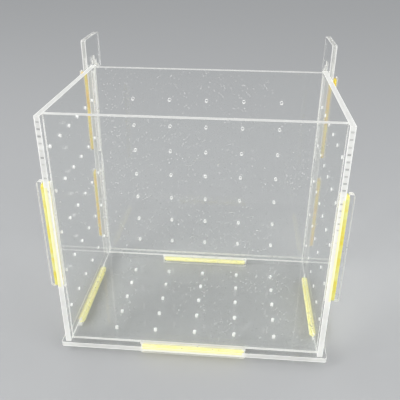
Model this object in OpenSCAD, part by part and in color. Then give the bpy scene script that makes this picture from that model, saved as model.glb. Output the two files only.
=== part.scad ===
/* [Box] */
// Width over the two side panels
box_w = 150; // [125:1:200]
// Depth of the side panels, from their front edge to their back edge
box_d = 103; // [86:1:160]
// Height of the four walls above the base plate
box_h = 139; // [130:1:200]
// Thickness of the clear sheet that the walls and the base are cut from
sheet_t = 3; // [2.5:0.1:4]
// Distance from the side panels' front edges back to the front panel
front_setback = 2.9; // [2.5:0.1:8]
// Distance from the back panel to the side panels' back edges
back_setback = 3; // [2.5:0.1:8]

/* [Base plate] */
// How far the base plate reaches past the front and back edges of the side panels
base_end_lip = 1; // [0.5:0.1:6]
// How far the base plate reaches past the side panels' outer faces
base_side_lip = 2.7; // [2:0.1:6]
// Corner radius of the base plate
base_corner = 1.5; // [0.5:0.1:5]

/* [Tabs and bands] */
// Length of the front panel's tab in each side panel
front_tab_len = 65; // [40:1:90]
// Height of the middle of that tab above the base plate
front_tab_z = 70.5; // [50:0.5:85]
// Length of each of the back panel's four side tabs
back_tab_len = 54; // [30:1:56]
// Height of the middle of the lower back tabs above the base plate
back_tab_low_z = 41; // [34:1:44]
// Height of the middle of the upper back tabs below the top of the walls
back_tab_top_drop = 29.5; // [29.5:0.5:36]
// Length of the tabs that the front and back panels push through the base plate
base_tab_x_len = 62; // [40:1:90]
// Length of the tabs that the side panels push through the base plate
base_tab_y_len = 60; // [30:1:66]
// Length of the head beyond the band, on a tab that passes through one sheet
tab_head = 2.7; // [1.5:0.1:6]
// Length of the head beyond the band, on a tab that also passes through a hanger
hanger_tab_head = 0.8; // [0.6:0.1:4]
// Depth of the notch at each end of a tab that the band sits in
notch = 2.6; // [0.6:0.1:3.5]
// Radius of the head's two outer corners
tab_corner = 1.6; // [0.3:0.1:3]
// Clearance between a tab and its slot, on each side
slot_gap = 0.1; // [0.05:0.05:0.3]
// Clearance between two pieces that lie against each other
fit_gap = 0.05; // [0.02:0.01:0.1]
// Width of the elastic band along the tab
band_w = 2.2; // [1:0.1:4]
// Thickness of the stretched elastic band
band_t = 1.7; // [0.8:0.1:2.4]

/* [Water holes] */
// Diameter of a water hole
hole_d = 2; // [1:0.1:4]
// Least distance from a grid's outer holes to the walls beside it
hole_margin = 4; // [3:0.5:12]
// Spacing of the columns across the back panel and the base plate
hole_pitch_x = 24; // [15:0.5:40]
// Distance from the base plate's outer columns to the side panels, at least
hole_side_margin = 20; // [8:1:40]
// Spacing of the columns on the side panels
side_pitch_y = 15.6; // [10:0.1:30]
// Distance from the side panels' front edge to the first column
side_first_y = 10.4; // [10:0.2:20]
// Spacing of the rows on the side panels
side_pitch_z = 25; // [12:0.5:40]
// Height of the lowest row on the side panels
side_first_z = 20; // [8:0.5:30]
// Spacing of the rows on the back panel
back_pitch_z = 17.7; // [10:0.1:30]
// Height of the lowest row on the back panel
back_first_z = 12.9; // [8:0.1:30]
// Least distance from the highest rows to the top of the walls
top_margin = 18; // [8:1:40]
// Spacing of the rows on the base plate, front to back
base_pitch_y = 15.3; // [10:0.1:30]
// Distance from the side panels' front edge to the base plate's first row
base_first_y = 16.6; // [12:0.1:30]

/* [Hangers] */
// Thickness of the hanger sheet
hanger_t = 3; // [2:0.1:4]
// Width of the upright that stands beside the box
upright_w = 10.5; // [8:0.5:16]
// Distance from the hanger's front edge back to the back panel
upright_lead = 2.5; // [2:0.1:4]
// Width of the gap for the tank's rim at its narrowest, under the bridge
rim_gap = 6.5; // [4:0.5:16]
// Number of wider steps below that, each for a thicker rim
rim_steps = 2; // [0:1:4]
// How much wider than the one above it each step is
rim_step_w = 4.2; // [1:0.2:8]
// Height of each step
rim_step_h = 3.4; // [2:0.2:12]
// Width of the hook's outer leg at its tip
hook_leg_w = 6.1; // [4:0.1:14]
// Height of the gap's top above the walls
rim_seat_rise = 4.6; // [3:0.2:30]
// Height of the hook's bridge above the gap
bridge_h = 12.4; // [6:0.2:20]
// Outer corner radius of the hanger
hook_corner = 1.5; // [0.5:0.1:2]

/* [Hidden] */
$fn = 48;

CLEAR = [0.84, 0.91, 0.94, 0.4];
AMBER = [0.96, 0.80, 0.18];

// How far a tab's neck reaches into its root and its head
lap = 0.5;
half_w = box_w / 2;
inner_half_w = half_w - sheet_t;
// Front face of the front panel and of the back panel
front_y = front_setback;
back_y = box_d - back_setback - sheet_t;
back_tab_top_z = box_h - back_tab_top_drop;
back_tab_zs = [back_tab_low_z, back_tab_top_z];
base_half_w = half_w + base_side_lip;
// Room between a sheet and a tab's head for the band
band_room = band_w + 2 * fit_gap;
// The tabs' heads under the base plate are the feet that the box stands on
foot_h = sheet_t + band_room + tab_head;
hanger_x = half_w + fit_gap;
hanger_out_x = hanger_x + hanger_t;
upright_y = back_y - upright_lead;
upright_back_y = upright_y + upright_w;
hook_back_y = upright_back_y + rim_gap + rim_steps * rim_step_w + hook_leg_w;
rim_seat_z = box_h + rim_seat_rise;
hook_top_z = rim_seat_z + bridge_h;
hook_tip_z = rim_seat_z - (rim_steps + 1) * rim_step_h;
base_front_y = -base_end_lip;
base_back_y = max(box_d + base_end_lip, upright_back_y);
// The origin lies under the middle of everything, on the surface the feet stand on
origin_y = (base_front_y + max(base_back_y, hook_back_y)) / 2;

// Places along a line: as many as fit between first and last at the given pitch
function row(first, last, pitch) = [for (at = [first : pitch : last]) at];
// The same, centred on the middle of the box
function centred_row(half_span, pitch) =
    let (steps = floor(2 * half_span / pitch))
    [for (i = [0 : steps]) (i - steps / 2) * pitch];

hole_xs = centred_row(inner_half_w - hole_side_margin, hole_pitch_x);
side_hole_ys = row(side_first_y, upright_y - hole_margin, side_pitch_y);
side_hole_zs = row(side_first_z, box_h - top_margin, side_pitch_z);
back_hole_zs = row(back_first_z, box_h - top_margin, back_pitch_z);
base_hole_ys = row(base_first_y, back_y - hole_margin, base_pitch_y);

// Rectangle with round corners, centred
module round_rect(size, r) {
    square([size[0] - 2 * r, size[1]], center = true);
    square([size[0], size[1] - 2 * r], center = true);
    for (sx = [-1, 1], sy = [-1, 1])
        translate([sx * (size[0] / 2 - r), sy * (size[1] / 2 - r)])
            circle(r = r);
}

// Outline of a tab that grows along +X from the wall's edge at x = 0:
// a root that fills the slots, a neck for the band, and a head that keeps the band on
module tab(len, root, head) {
    r = min(tab_corner, head / 2);
    head_x = root + band_room;
    translate([-sheet_t, -len / 2])
        square([sheet_t + root, len]);
    translate([root - lap, notch - len / 2])
        square([band_room + 2 * lap, len - 2 * notch]);
    translate([head_x, -len / 2])
        square([head - r, len]);
    translate([head_x, r - len / 2])
        square([head, len - 2 * r]);
    for (side = [-1, 1])
        translate([head_x + head - r, side * (len / 2 - r)])
            circle(r = r);
}

// Opening for a tab, with its long side along Y
module slot(len) {
    square([sheet_t + 2 * slot_gap, len + 2 * slot_gap], center = true);
}

module hole_grid(us, vs) {
    for (u = us, v = vs)
        translate([u, v])
            circle(d = hole_d);
}

// Stands a flat outline up across the box, with its front face at y
module across(y) {
    translate([0, y + sheet_t, 0])
        rotate([90, 0, 0])
            linear_extrude(sheet_t)
                children();
}

// Stands a flat outline up along the box, from x to x + t
module along(x, t) {
    translate([x, 0, 0])
        rotate([90, 0, 90])
            linear_extrude(t)
                children();
}

// Puts a piece into the frame of the whole object
module seat() {
    translate([0, -origin_y, foot_h])
        children();
}

// Outline of a wall between the side panels, with its one tab through the base plate
module cross_wall() {
    wall_half_w = inner_half_w - fit_gap;
    translate([-wall_half_w, fit_gap])
        square([2 * wall_half_w, box_h - fit_gap]);
    rotate(-90)
        tab(base_tab_x_len, sheet_t, tab_head);
}

module base_plate() {
    length_y = base_back_y - base_front_y;
    color(CLEAR) seat()
        translate([0, 0, -sheet_t])
            linear_extrude(sheet_t)
                difference() {
                    translate([0, base_front_y + length_y / 2])
                        round_rect([2 * base_half_w, length_y], base_corner);
                    for (y = [front_y, back_y])
                        translate([0, y + sheet_t / 2])
                            rotate(90)
                                slot(base_tab_x_len);
                    for (side = [-1, 1])
                        translate([side * (half_w - sheet_t / 2), box_d / 2])
                            slot(base_tab_y_len);
                    hole_grid(hole_xs, base_hole_ys);
                }
}

module front_panel() {
    color(CLEAR) seat()
        across(front_y) {
            cross_wall();
            for (side = [0, 1])
                mirror([side, 0])
                    translate([inner_half_w, front_tab_z])
                        tab(front_tab_len, sheet_t, tab_head);
        }
}

module back_panel() {
    color(CLEAR) seat()
        across(back_y)
            difference() {
                union() {
                    cross_wall();
                    for (side = [0, 1], z = back_tab_zs)
                        mirror([side, 0])
                            translate([inner_half_w, z])
                                tab(back_tab_len, hanger_out_x - inner_half_w, hanger_tab_head);
                }
                hole_grid(hole_xs, back_hole_zs);
            }
}

module side_panel(x) {
    color(CLEAR) seat()
        along(x, sheet_t)
            difference() {
                union() {
                    translate([0, fit_gap])
                        square([box_d, box_h - fit_gap]);
                    translate([box_d / 2, 0])
                        rotate(-90)
                            tab(base_tab_y_len, sheet_t, tab_head);
                }
                translate([front_y + sheet_t / 2, front_tab_z])
                    slot(front_tab_len);
                for (z = back_tab_zs)
                    translate([back_y + sheet_t / 2, z])
                        slot(back_tab_len);
                hole_grid(side_hole_ys, side_hole_zs);
            }
}

module left_panel() {
    side_panel(-half_w);
}

module right_panel() {
    side_panel(inner_half_w);
}

// Gap over the rim, which gets wider downwards in steps
module rim_cut() {
    for (i = [0 : rim_steps])
        translate([upright_back_y, hook_tip_z - 1])
            square([rim_gap + i * rim_step_w, rim_seat_z - i * rim_step_h - hook_tip_z + 1]);
}

// A long upright held against the side panel by the back tabs, with a hook over the rim
module hanger(x) {
    hook_w = hook_back_y - upright_y;
    hook_h = hook_top_z - hook_tip_z;
    upright_h = rim_seat_z - fit_gap;
    color(CLEAR) seat()
        along(x, hanger_t)
            difference() {
                union() {
                    translate([upright_y + upright_w / 2, rim_seat_z - upright_h / 2])
                        round_rect([upright_w, upright_h], hook_corner);
                    translate([upright_y + hook_w / 2, hook_tip_z + hook_h / 2])
                        round_rect([hook_w, hook_h], hook_corner);
                }
                rim_cut();
                for (z = back_tab_zs)
                    translate([back_y + sheet_t / 2, z])
                        slot(back_tab_len);
            }
}

module left_hanger() {
    hanger(-hanger_out_x);
}

module right_hanger() {
    hanger(hanger_x);
}

// Elastic band stretched round a tab's neck. Its height is along Z, and the tab's long side along Y
module band(tab_len) {
    ring = [sheet_t + 2 * fit_gap, tab_len - 2 * notch + 2 * fit_gap];
    outer = ring + [2 * band_t, 2 * band_t];
    color(AMBER)
        linear_extrude(band_w)
            difference() {
                round_rect(outer, band_t);
                square(ring, center = true);
            }
}

// Band on a tab that comes out of the side at x and points outwards
module side_band(side, x, y, z, tab_len) {
    seat()
        mirror([side < 0 ? 1 : 0, 0, 0])
            translate([x, y + sheet_t / 2, z])
                rotate([90, 0, 90])
                    band(tab_len);
}

// Band on a tab that comes out under the base plate
module base_band(x, y, turn, tab_len) {
    seat()
        translate([x, y, -sheet_t - fit_gap - band_w])
            rotate(turn)
                band(tab_len);
}

module band_front(side) {
    side_band(side, half_w + fit_gap, front_y, front_tab_z, front_tab_len);
}

module band_back(side, z) {
    side_band(side, hanger_out_x + fit_gap, back_y, z, back_tab_len);
}

module band_base_across(y) {
    base_band(0, y + sheet_t / 2, 90, base_tab_x_len);
}

module band_base_along(side) {
    base_band(side * (half_w - sheet_t / 2), box_d / 2, 0, base_tab_y_len);
}

base_plate();
front_panel();
back_panel();
left_panel();
right_panel();
left_hanger();
right_hanger();
band_front(-1);  // band_front_left
band_front(1);  // band_front_right
band_back(-1, back_tab_low_z);  // band_back_left_lower
band_back(-1, back_tab_top_z);  // band_back_left_upper
band_back(1, back_tab_low_z);  // band_back_right_lower
band_back(1, back_tab_top_z);  // band_back_right_upper
band_base_across(front_y);  // band_base_front
band_base_across(back_y);  // band_base_back
band_base_along(-1);  // band_base_left
band_base_along(1);  // band_base_right
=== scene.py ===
"""Looks of the fish breeding box: clear cut sheet with lit edges, and stretched elastic bands."""

import math

import bpy
from mathutils import Euler, Matrix, Vector


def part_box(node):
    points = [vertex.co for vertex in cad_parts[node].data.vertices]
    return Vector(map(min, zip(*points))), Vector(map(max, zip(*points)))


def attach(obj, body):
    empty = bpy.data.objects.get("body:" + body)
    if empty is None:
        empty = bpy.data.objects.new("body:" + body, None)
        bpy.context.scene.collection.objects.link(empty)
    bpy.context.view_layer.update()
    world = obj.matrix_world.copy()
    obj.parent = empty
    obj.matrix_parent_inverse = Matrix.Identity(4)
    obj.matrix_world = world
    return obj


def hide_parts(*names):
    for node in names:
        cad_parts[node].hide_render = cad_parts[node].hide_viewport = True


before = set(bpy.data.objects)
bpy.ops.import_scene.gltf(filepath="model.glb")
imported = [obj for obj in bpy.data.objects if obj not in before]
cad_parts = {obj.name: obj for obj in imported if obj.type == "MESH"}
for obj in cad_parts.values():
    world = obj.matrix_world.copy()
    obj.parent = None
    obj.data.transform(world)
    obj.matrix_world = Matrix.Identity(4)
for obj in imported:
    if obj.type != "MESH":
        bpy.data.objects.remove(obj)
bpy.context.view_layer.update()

MM = 0.001

# ---- Sizes, in metres ----
BAND_THICK = 1.7 * MM
BAND_EDGE_ROUND = 0.4 * MM
BAND_CORNER_EXTRA = 0.15 * MM
# The inputs of the bands' node tree, with the values that stand until a band's own are set
BAND_SIZES = {
    "Loop Width": 5.0 * MM,
    "Loop Length": 60.0 * MM,
    "Strip Width": 2.1 * MM,
    "Strip Thickness": BAND_THICK,
    "Edge Round": BAND_EDGE_ROUND,
    "Corner Round": BAND_THICK / 2 + BAND_CORNER_EXTRA,
}
# How many points round off each corner of a band's path, and of its cross section
PATH_CORNER_POINTS = 6
EDGE_CORNER_POINTS = 4
# The facets of a water hole's wall are narrower than this, and all other walls' are wider
HOLE_FACET = 0.15 * MM
FLOOR_SIZE = 6.0
FLOOR_DROP = 0.2 * MM

# ---- Sizes on the surfaces, in millimetres, as the patterns read them ----
SHEET_THICK = 3.0
# The middle of a cut edge, between its two arrises: half its width, and the width of its soft rim
MIDDLE_HALF, MIDDLE_SOFT = 0.75, 0.45
# How far from a sheet's foremost plane its front edge reaches
FRONT_DEPTH = 0.3
# The dark ticks on the side panels' front edges, a painted reflection of the water holes seen
# through the edge: the height of one of them, their spacing, and the half width and soft rim of
# each
TICK_HEIGHT, TICK_PITCH = 144.1, 3.7
TICK_HALF, TICK_SOFT = 0.37, 0.37
# Two heights, and the ticks' share of their strength below the first and above the second
TICK_FADE = (75.0, 100.0, 0.15, 1.0)
# The painted reflection of a band's yellow in a sheet's edge stops before the band's own end, and
# fades out over a soft rim
PAINTED_REFLECTION_END, PAINTED_REFLECTION_END_SOFT = 1.2, 0.6
PAINTED_REFLECTION_ARRIS_SOFT = 0.9
# In a slot of the base plate, the painted reflection of the band's yellow reaches this far to
# each side of the band's middle
SLOT_HALF, SLOT_SOFT = 2.0, 0.3
SLOT_TOP_SOFT = 0.5

# ---- Colours, linear ----
SHEET_TINT = (0.985, 0.99, 0.985)
LAMP_TINT = (0.975, 0.98, 0.975)
DUST = (0.93, 0.93, 0.91)
# Near-white tone of the cut edges: a light frost, whitened with painted light that the sheet
# gathers into its edges
EDGE_PAINTED_LIT = (0.95, 0.95, 0.92)
EDGE_MIDDLE = (0.82, 0.83, 0.81)
# Colour of the dark ticks, a painted reflection of the water holes in the side panels' front
# edges
EDGE_TICK_PAINTED_REFLECTION = (0.30, 0.31, 0.32)
DRILLED = (0.98, 0.98, 0.97)
# Colour of the painted glow in the cut edges and the hole walls
PAINTED_GLOW_COLOUR = (1.0, 1.0, 0.96)
# Paler colour of the bands under the base plate: painted light, lightened against the shade they
# lie in
BAND_PALE_PAINTED_LIGHT = (1.0, 0.95, 0.54)
BAND_LEMON = (1.0, 0.95, 0.38)
BAND_WARM = (1.0, 0.81, 0.12)
BAND_AMBER = (1.0, 0.62, 0.14)
# Colour of the bands' painted glow
BAND_PAINTED_GLOW_COLOUR = (1.0, 0.88, 0.42)
FLOOR = (0.47, 0.475, 0.48)
ROOM_LIGHT = (0.97, 0.985, 1.0)

# ---- Strengths and shares ----
# Painted glow: emission on parts that are no lamps. On the cut edges and hole walls it stands for
# the light that the clear sheet guides to them; on the bands under the base plate it brightens
# them in their shade
ARRIS_PAINTED_GLOW = 0.50
MIDDLE_PAINTED_GLOW = 0.22
HOLE_PAINTED_GLOW = 0.10
BAND_PAINTED_GLOW = 0.15
ROOM_STRENGTH = 0.75
# Strength of the painted reflection of the bands' yellow in the sheets' edges
PAINTED_REFLECTION_SHARE = 0.8
TRANSLUCENT_SHARE = 0.35
ARRIS_CLEARNESS = 0.10
ACRYLIC_IOR = 1.49
ELASTIC_IOR = 1.5
# A face whose normal follows the sheet's thin direction at least this well is a broad face
BROAD_NORMAL = 0.9
# What the lamps don't reach of the floor has this colour, so floor and backdrop meet unseen
BACKDROP = tuple(shade * light * ROOM_STRENGTH for shade, light in zip(FLOOR, ROOM_LIGHT))

# ---- Patterns: where a texture's value starts and ends to count, and what it is turned into ----
SMEAR_STRETCH = (0.05, 0.05, 0.018)
HAZE = (0.42, 0.72, 0.0, 0.035)
SPECK_RIM = (0.24, 0.14)
SPECK_CHOICE = (0.48, 0.58)
DUST_PATCHES = (0.40, 0.62, 0.06, 0.58)
# Cut lines and ticks run straight across the edge, so their texture is drawn out across it
EDGE_STRETCH = 0.03
CUT_LINES = (0.52, 0.75, 0.0, 0.5)
TICK_CHOICE = (0.38, 0.60, 0.2)
THIN_TO_THICK = (0.35, 0.68)

# ---- Pieces ----
# Each sheet's thin direction, then for its cut edges the roughness, how clear they are in the
# middle, the share of the painted glow that stands for the guided light, and the strength of the
# ticks, a painted reflection of the water holes
SHEETS = {
    "base_plate": (2, 0.35, 0.30, 1.0, 0.0),
    "front_panel": (1, 0.35, 0.25, 1.0, 0.0),
    "back_panel": (1, 0.35, 0.25, 1.0, 0.0),
    "left_panel": (0, 0.35, 0.20, 1.0, 0.75),
    "right_panel": (0, 0.35, 0.20, 1.0, 0.75),
    "left_hanger": (0, 0.12, 0.85, 0.5, 0.0),
    "right_hanger": (0, 0.12, 0.85, 0.5, 0.0),
}
# The band whose yellow shows in a sheet's front edge as a painted reflection, the arris where it
# shows (1 for the one at the higher coordinate, -1 for the other) and how far from there it
# reaches, in millimetres
PAINTED_BAND_REFLECTIONS = {
    "base_plate": ("band_base_front", 1, 1.2),
    "left_panel": ("band_front_left", -1, 1.3),
    "right_panel": ("band_front_right", 1, 0.7),
}
# How far up the walls of the base plate's slots each lower band's yellow shows as a painted
# reflection, in millimetres
PAINTED_SLOT_REFLECTIONS = {
    "band_base_front": 1.2,
    "band_base_back": 1.2,
    "band_base_left": 3.0,
    "band_base_right": 3.0,
}
# Each group of bands: its material's name, its colours where thin and thick, and the strength of
# its painted glow. The bands under the base plate get a paler colour and a glow, both painted
# light for the shade under the plate
BAND_LOOKS = {
    "band_front": ("stretched_elastic", BAND_LEMON, BAND_WARM, 0.0),
    "band_back": ("stretched_elastic_amber", BAND_WARM, BAND_AMBER, 0.0),
    "band_base": ("stretched_elastic_painted_light", BAND_PALE_PAINTED_LIGHT, BAND_LEMON, BAND_PAINTED_GLOW),
}
BAND_NODES = sorted(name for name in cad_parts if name.startswith("band_"))

# ---- Lamps and camera ----
LAMP_AIM = (0.0, 0.0, 0.08)
# Each lamp's place and the side of its square, in metres, and its power in watts
LAMPS = {
    "key": ((-0.85, -0.65, 0.85), 0.6, 7.0),
    "fill": ((0.75, -0.55, 0.60), 0.7, 3.8),
}
CAMERA_PLACE = (0.02297, -0.29246, 0.22639)
CAMERA_TURN = (62.474, -0.296, 4.824)
CAMERA_SENSOR = 36.0
CAMERA_LENS = 47.16
CAMERA_NEAR = 0.01


# ---- Shader helpers ----
def new_material(name):
    mat = bpy.data.materials.new(name)
    mat.use_nodes = True
    mat.node_tree.nodes.clear()
    return mat


def add(tree, kind, inputs=None, **settings):
    """A new node with its settings, and its inputs set to values or linked to sockets."""
    node = tree.nodes.new(kind)
    for key, value in settings.items():
        setattr(node, key, value)
    for key, value in (inputs or {}).items():
        if isinstance(value, bpy.types.NodeSocket):
            tree.links.new(value, node.inputs[key])
        else:
            node.inputs[key].default_value = value
    return node


def rgba(colour):
    return (*colour, 1.0)


def box_mm(name):
    """The low and the high corner of a node's box, in millimetres."""
    low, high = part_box(name)
    return low / MM, high / MM


def object_place(tree, scale=(1.0, 1.0, 1.0)):
    """Object coordinates in millimetres, times scale."""
    coords = add(tree, "ShaderNodeTexCoord").outputs["Object"]
    sizes = {"Vector": coords, "Scale": [s / MM for s in scale]}
    return add(tree, "ShaderNodeMapping", sizes).outputs["Vector"]


def noise(tree, place, scale, detail):
    inputs = {"Vector": place, "Scale": scale, "Detail": detail}
    return add(tree, "ShaderNodeTexNoise", inputs).outputs["Fac"]


def ramp(tree, value, low, high, to_low=0.0, to_high=1.0):
    """Turns the values from low to high into those from to_low to to_high, and stops at both."""
    node = add(
        tree,
        "ShaderNodeMapRange",
        {"Value": value, "From Min": low, "From Max": high, "To Min": to_low, "To Max": to_high},
    )
    return node.outputs["Result"]


def calculate(tree, operation, *values):
    return add(tree, "ShaderNodeMath", dict(enumerate(values)), operation=operation).outputs[0]


def times(tree, product, *factors):
    for factor in factors:
        product = calculate(tree, "MULTIPLY", product, factor)
    return product


def within(tree, value, middle, half, soft):
    """One where value is within half of middle, and zero from soft outside that."""
    offset = calculate(tree, "SUBTRACT", value, middle)
    return ramp(tree, calculate(tree, "ABSOLUTE", offset), half + soft, half)


def mix_colour(tree, factor, a, b):
    """Colour a or b by factor. Either may be a colour or the socket of another mix."""
    node = add(tree, "ShaderNodeMix", data_type="RGBA")
    node_in = {socket.identifier: socket for socket in node.inputs}
    tree.links.new(factor, node_in["Factor_Float"])
    for key, colour in (("A_Color", a), ("B_Color", b)):
        if isinstance(colour, bpy.types.NodeSocket):
            tree.links.new(colour, node_in[key])
        else:
            node_in[key].default_value = rgba(colour)
    return next(socket for socket in node.outputs if socket.identifier == "Result_Color")


def mix_shader(tree, factor, a, b):
    return add(tree, "ShaderNodeMixShader", {0: factor, 1: a, 2: b}).outputs[0]


def bump(tree, height, strength, depth):
    inputs = {"Height": height, "Strength": strength, "Distance": depth}
    return add(tree, "ShaderNodeBump", inputs).outputs["Normal"]


def principled(tree, inputs):
    return add(tree, "ShaderNodeBsdfPrincipled", inputs).outputs[0]


def let_lamps_through(tree, shader, tint):
    """The surface as it is seen, but open to rays from the lamps, as thin clear sheet is."""
    path = add(tree, "ShaderNodeLightPath")
    clear = add(tree, "ShaderNodeBsdfTransparent", {"Color": rgba(tint)})
    return mix_shader(tree, path.outputs["Is Shadow Ray"], shader, clear.outputs[0])


def finish_material(tree, shader):
    add(tree, "ShaderNodeOutputMaterial", {"Surface": shader})


# ---- Materials of the sheets ----
def thin_middle(name, axis):
    """Middle of a sheet's thickness, in millimetres, between its two largest flat faces."""
    area = {}
    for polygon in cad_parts[name].data.polygons:
        if abs(polygon.normal[axis]) > BROAD_NORMAL:
            at = round(polygon.center[axis] / MM, 2)
            area[at] = area.get(at, 0.0) + polygon.area
    return sum(sorted(area, key=area.get)[-2:]) / 2


THIN_MIDDLE = {name: thin_middle(name, values[0]) for name, values in SHEETS.items()}


def clear_sheet_face():
    """Polished face of the sheet: clear, with a breath of haze and fine dry dust."""
    mat = new_material("clear_sheet_face")
    tree = mat.node_tree
    place = object_place(tree)
    smear = noise(tree, object_place(tree, SMEAR_STRETCH), 1.0, 4.0)
    sheet = principled(
        tree,
        {
            "Base Color": rgba(SHEET_TINT),
            "Roughness": ramp(tree, smear, *HAZE),
            "IOR": ACRYLIC_IOR,
            "Transmission Weight": 1.0,
        },
    )
    cells = {"Vector": place, "Scale": 0.5, "Randomness": 1.0}
    specks = add(tree, "ShaderNodeTexVoronoi", cells).outputs["Distance"]
    dust_share = times(
        tree,
        ramp(tree, specks, *SPECK_RIM),
        ramp(tree, noise(tree, place, 0.6, 1.0), *SPECK_CHOICE),
        ramp(tree, noise(tree, place, 0.035, 3.0), *DUST_PATCHES),
    )
    dust = principled(tree, {"Base Color": rgba(DUST), "Roughness": 0.8})
    seen = mix_shader(tree, dust_share, sheet, dust)
    finish_material(tree, let_lamps_through(tree, seen, LAMP_TINT))
    return mat


def on_front(tree, split, name):
    """One on a sheet's front edge, and zero behind it."""
    front = box_mm(name)[0][1]
    return within(tree, split.outputs[1], front, FRONT_DEPTH, FRONT_DEPTH)


def along_band(tree, split, low, high, axis):
    """One along a band, up to where its ends bend away."""
    middle, half = (high[axis] + low[axis]) / 2, (high[axis] - low[axis]) / 2
    return within(tree, split.outputs[axis], middle, half - PAINTED_REFLECTION_END, PAINTED_REFLECTION_END_SOFT)


def slot_painted_reflection(tree, split, band, reach):
    """Where a painted reflection of a band's yellow shows in the walls of the base plate's slot
    above it.
    """
    low, high = box_mm(band)
    long_axis, across = (0, 1) if high[0] - low[0] > high[1] - low[1] else (1, 0)
    underside = THIN_MIDDLE["base_plate"] - SHEET_THICK / 2
    middle = (high[across] + low[across]) / 2
    return times(
        tree,
        within(tree, split.outputs[2], underside, reach, SLOT_TOP_SOFT),
        within(tree, split.outputs[across], middle, SLOT_HALF, SLOT_SOFT),
        along_band(tree, split, low, high, long_axis),
    )


def band_painted_reflection(tree, split, name, axis):
    """Where painted reflections of the bands' yellow show in a sheet's front edge and in the base
    plate's slots.
    """
    band, side, reach = PAINTED_BAND_REFLECTIONS[name]
    low, high = box_mm(band)
    arris = THIN_MIDDLE[name] + side * SHEET_THICK / 2
    shown = times(
        tree,
        within(tree, split.outputs[axis], arris, reach, PAINTED_REFLECTION_ARRIS_SOFT),
        on_front(tree, split, name),
        along_band(tree, split, low, high, 2 if axis == 0 else 0),
    )
    if name == "base_plate":
        for lower_band, slot_reach in PAINTED_SLOT_REFLECTIONS.items():
            in_slot = slot_painted_reflection(tree, split, lower_band, slot_reach)
            shown = calculate(tree, "MAXIMUM", shown, in_slot)
    return times(tree, shown, PAINTED_REFLECTION_SHARE)


def dark_ticks_painted_reflection(tree, split, stretched, name, share):
    """Painted reflection of the water holes: dark lines across a side panel's front edge, evenly
    spaced and unevenly strong.
    """
    height = split.outputs[2]
    above_one = calculate(tree, "SUBTRACT", height, TICK_HEIGHT)
    from_nearest = calculate(tree, "PINGPONG", above_one, TICK_PITCH / 2)
    return times(
        tree,
        ramp(tree, from_nearest, TICK_HALF + TICK_SOFT, TICK_HALF),
        ramp(tree, height, *TICK_FADE),
        ramp(tree, noise(tree, stretched, 0.16, 0.0), *TICK_CHOICE, share),
        on_front(tree, split, name),
    )


def cut_edge(name, axis, roughness, clearness, painted_glow_share, tick_share):
    """Laser-cut edge with painted glow, brightest along its two arrises, clearer in the middle,
    with cut lines.
    """
    mat = new_material("cut_edge_" + name)
    tree = mat.node_tree
    split = add(tree, "ShaderNodeSeparateXYZ", {0: object_place(tree)})
    inside = within(tree, split.outputs[axis], THIN_MIDDLE[name], MIDDLE_HALF, MIDDLE_SOFT)
    stretched = object_place(tree, [EDGE_STRETCH if i == axis else 1.0 for i in range(3)])
    lines = noise(tree, stretched, 1.6, 3.0)
    line_share = times(tree, inside, ramp(tree, lines, *CUT_LINES))
    tone = mix_colour(tree, line_share, EDGE_PAINTED_LIT, EDGE_MIDDLE)
    # Painted reflection of the water holes, as dark ticks across the edge
    if tick_share > 0:
        ticks = dark_ticks_painted_reflection(tree, split, stretched, name, tick_share)
        tone = mix_colour(tree, times(tree, inside, ticks), tone, EDGE_TICK_PAINTED_REFLECTION)
    # Painted reflection of a band's yellow, seen through the sheet in its edge
    if name in PAINTED_BAND_REFLECTIONS:
        tone = mix_colour(tree, band_painted_reflection(tree, split, name, axis), tone, BAND_LEMON)
    # Painted glow: the edge emits light, more along its arrises than in its middle
    painted_glow_strengths = (ARRIS_PAINTED_GLOW * painted_glow_share, MIDDLE_PAINTED_GLOW * painted_glow_share)
    edge = principled(
        tree,
        {
            "Base Color": tone,
            "Roughness": roughness,
            "IOR": ACRYLIC_IOR,
            "Transmission Weight": ramp(tree, inside, 0.0, 1.0, ARRIS_CLEARNESS, clearness),
            "Normal": bump(tree, lines, 0.12, 0.2 * MM),
            "Emission Color": rgba(PAINTED_GLOW_COLOUR),
            "Emission Strength": ramp(tree, inside, 0.0, 1.0, *painted_glow_strengths),
        },
    )
    through = add(tree, "ShaderNodeBsdfTranslucent", {"Color": tone})
    finish_material(tree, mix_shader(tree, TRANSLUCENT_SHARE, edge, through.outputs[0]))
    return mat


def drilled_wall():
    """Frosted white wall of a water hole, with a painted glow."""
    mat = new_material("drilled_wall")
    tree = mat.node_tree
    grain = noise(tree, object_place(tree), 4.0, 2.0)
    wall = principled(
        tree,
        {
            "Base Color": rgba(DRILLED),
            "Roughness": 0.55,
            "Normal": bump(tree, grain, 0.3, 0.1 * MM),
            "Emission Color": rgba(PAINTED_GLOW_COLOUR),
            "Emission Strength": HOLE_PAINTED_GLOW,
        },
    )
    finish_material(tree, wall)
    return mat


# ---- Sheet pieces ----
def shortest_side(mesh, polygon):
    corners = [mesh.vertices[i].co for i in polygon.vertices]
    return min((a - b).length for a, b in zip(corners, corners[1:] + corners[:1]))


def finish_sheet(name, axis, face, edge, drilled):
    """Clear finish on the broad faces, cut edges with painted glow, frosted finish with painted
    glow in the holes.
    """
    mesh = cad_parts[name].data
    mesh.materials.clear()
    for mat in (face, edge, drilled):
        mesh.materials.append(mat)
    for polygon in mesh.polygons:
        if abs(polygon.normal[axis]) > BROAD_NORMAL:
            polygon.material_index = 0
        else:
            polygon.material_index = 2 if shortest_side(mesh, polygon) < HOLE_FACET else 1
        polygon.use_smooth = False


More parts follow.
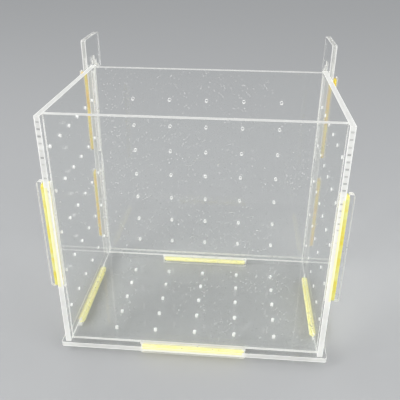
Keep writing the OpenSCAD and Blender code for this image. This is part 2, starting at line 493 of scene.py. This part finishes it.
# ---- Bands ----
def stretched_elastic(name, thin, thick, lit):
    """Translucent yellow elastic, in its paler colour where it is drawn thin, glowing with
    painted light as strong as lit.
    """
    mat = new_material(name)
    tree = mat.node_tree
    place = object_place(tree)
    thickness = ramp(tree, noise(tree, place, 0.22, 3.0), *THIN_TO_THICK)
    grain = noise(tree, place, 3.0, 2.0)
    elastic = principled(
        tree,
        {
            "Base Color": mix_colour(tree, thickness, thin, thick),
            "Roughness": 0.32,
            "IOR": ELASTIC_IOR,
            "Subsurface Weight": 0.4,
            "Subsurface Radius": (2.0 * MM, 1.6 * MM, 0.6 * MM),
            "Subsurface Scale": 1.0,
            "Normal": bump(tree, grain, 0.2, 0.1 * MM),
            "Emission Color": rgba(BAND_PAINTED_GLOW_COLOUR),
            "Emission Strength": lit,
        },
    )
    finish_material(tree, elastic)
    return mat


def rounded_rectangle(tree, width, height, radius, count):
    """A rectangle of curve whose corners are rounded with count points each."""
    sides = {"Width": width, "Height": height}
    path = add(tree, "GeometryNodeCurvePrimitiveQuadrilateral", sides)
    corners = {"Curve": path.outputs[0], "Radius": radius, "Count": count}
    return add(tree, "GeometryNodeFilletCurve", corners, mode="POLY").outputs[0]


def band_tree(elastic):
    """Geometry Nodes: a rounded strip that follows a rectangle with round corners."""
    tree = bpy.data.node_groups.new("Stretched band", "GeometryNodeTree")
    for socket, value in BAND_SIZES.items():
        item = tree.interface.new_socket(socket, in_out="INPUT", socket_type="NodeSocketFloat")
        item.default_value = value
    tree.interface.new_socket("Geometry", in_out="OUTPUT", socket_type="NodeSocketGeometry")
    sizes = tree.nodes.new("NodeGroupInput").outputs
    path = rounded_rectangle(
        tree,
        sizes["Loop Width"],
        sizes["Loop Length"],
        sizes["Corner Round"],
        PATH_CORNER_POINTS,
    )
    strip = rounded_rectangle(
        tree,
        sizes["Strip Thickness"],
        sizes["Strip Width"],
        sizes["Edge Round"],
        EDGE_CORNER_POINTS,
    )
    swept = add(tree, "GeometryNodeCurveToMesh", {"Curve": path, "Profile Curve": strip})
    real = add(tree, "GeometryNodeRealizeInstances", {"Geometry": swept.outputs[0]})
    finish = {"Geometry": real.outputs[0], "Material": elastic}
    done = add(tree, "GeometryNodeSetMaterial", finish)
    add(tree, "NodeGroupOutput", {0: done.outputs[0]})
    return tree


def stretch_band(name, tree):
    """Makes the band that stands for a CAD band, in the same place."""
    low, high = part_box(name)
    size = high - low
    width_axis, across_axis, long_axis = sorted(range(3), key=lambda i: size[i])
    piece = bpy.data.objects.new(name + "_stretched", bpy.data.meshes.new(name + "_stretched"))
    bpy.context.scene.collection.objects.link(piece)
    modifier = piece.modifiers.new("Stretched band", "NODES")
    modifier.node_group = tree
    wanted = {
        **BAND_SIZES,
        "Loop Width": size[across_axis] - BAND_THICK,
        "Loop Length": size[long_axis] - BAND_THICK,
        "Strip Width": size[width_axis],
    }
    for item in tree.interface.items_tree:
        if item.in_out == "INPUT":
            modifier[item.identifier] = wanted[item.name]
    bpy.context.view_layer.update()
    made = piece.evaluated_get(bpy.context.evaluated_depsgraph_get())
    mesh = bpy.data.meshes.new_from_object(made)
    piece.modifiers.clear()
    piece.data = mesh
    # The tree's X, Y and Z go to the band's across, long and width directions, without a mirror
    turn = Matrix(((0.0,) * 3,) * 3)
    for local_axis, world_axis in enumerate((across_axis, long_axis, width_axis)):
        turn[world_axis][local_axis] = 1.0
    if turn.determinant() < 0:
        turn[width_axis][2] = -1.0
    mesh.transform(Matrix.Translation((low + high) / 2) @ turn.to_4x4())
    for polygon in mesh.polygons:
        polygon.use_smooth = True
    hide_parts(name)
    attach(piece, "root")


# ---- Stage, lamps and camera ----
def stage():
    bpy.ops.mesh.primitive_plane_add(size=FLOOR_SIZE, location=(0, 0, -FLOOR_DROP))
    floor = bpy.context.object
    floor.name = "floor"
    mat = new_material("floor")
    shade = principled(mat.node_tree, {"Base Color": rgba(FLOOR), "Roughness": 0.75})
    finish_material(mat.node_tree, shade)
    floor.data.materials.append(mat)


def light_world():
    """Even room light, with a backdrop colour where it is seen, mirrored or through a sheet."""
    world = bpy.data.worlds.new("pale room")
    world.use_nodes = True
    tree = world.node_tree
    tree.nodes.clear()
    rays = add(tree, "ShaderNodeLightPath").outputs
    seen = rays["Is Camera Ray"]
    for kind in ("Is Glossy Ray", "Is Transmission Ray"):
        seen = calculate(tree, "MAXIMUM", seen, rays[kind])
    light = {"Color": rgba(ROOM_LIGHT), "Strength": ROOM_STRENGTH}
    lit = add(tree, "ShaderNodeBackground", light)
    shown = add(tree, "ShaderNodeBackground", {"Color": rgba(BACKDROP), "Strength": 1.0})
    mixed = mix_shader(tree, seen, lit.outputs[0], shown.outputs[0])
    add(tree, "ShaderNodeOutputWorld", {"Surface": mixed})
    bpy.context.scene.world = world


def add_lamp(name, place, size, power):
    data = bpy.data.lights.new(name, "AREA")
    data.shape = "SQUARE"
    data.size = size
    data.energy = power
    lamp = bpy.data.objects.new(name, data)
    lamp.location = place
    ahead = Vector(LAMP_AIM) - Vector(place)
    lamp.rotation_euler = ahead.to_track_quat("-Z", "Y").to_euler()
    bpy.context.scene.collection.objects.link(lamp)


def add_camera():
    data = bpy.data.cameras.new("camera")
    data.sensor_width = CAMERA_SENSOR
    data.lens = CAMERA_LENS
    data.clip_start = CAMERA_NEAR
    camera = bpy.data.objects.new("camera", data)
    camera.location = CAMERA_PLACE
    camera.rotation_euler = Euler([math.radians(angle) for angle in CAMERA_TURN])
    bpy.context.scene.collection.objects.link(camera)
    bpy.context.scene.camera = camera


sheet_face = clear_sheet_face()
hole_wall = drilled_wall()
for name, (axis, *edge_looks) in SHEETS.items():
    finish_sheet(name, axis, sheet_face, cut_edge(name, axis, *edge_looks), hole_wall)

band_trees = {group: band_tree(stretched_elastic(*look)) for group, look in BAND_LOOKS.items()}
for name in BAND_NODES:
    stretch_band(name, next(band_trees[group] for group in band_trees if name.startswith(group)))

stage()
light_world()
for name, (place, size, power) in LAMPS.items():
    add_lamp(name, place, size, power)
add_camera()
bpy.context.scene.view_settings.view_transform = "Standard"
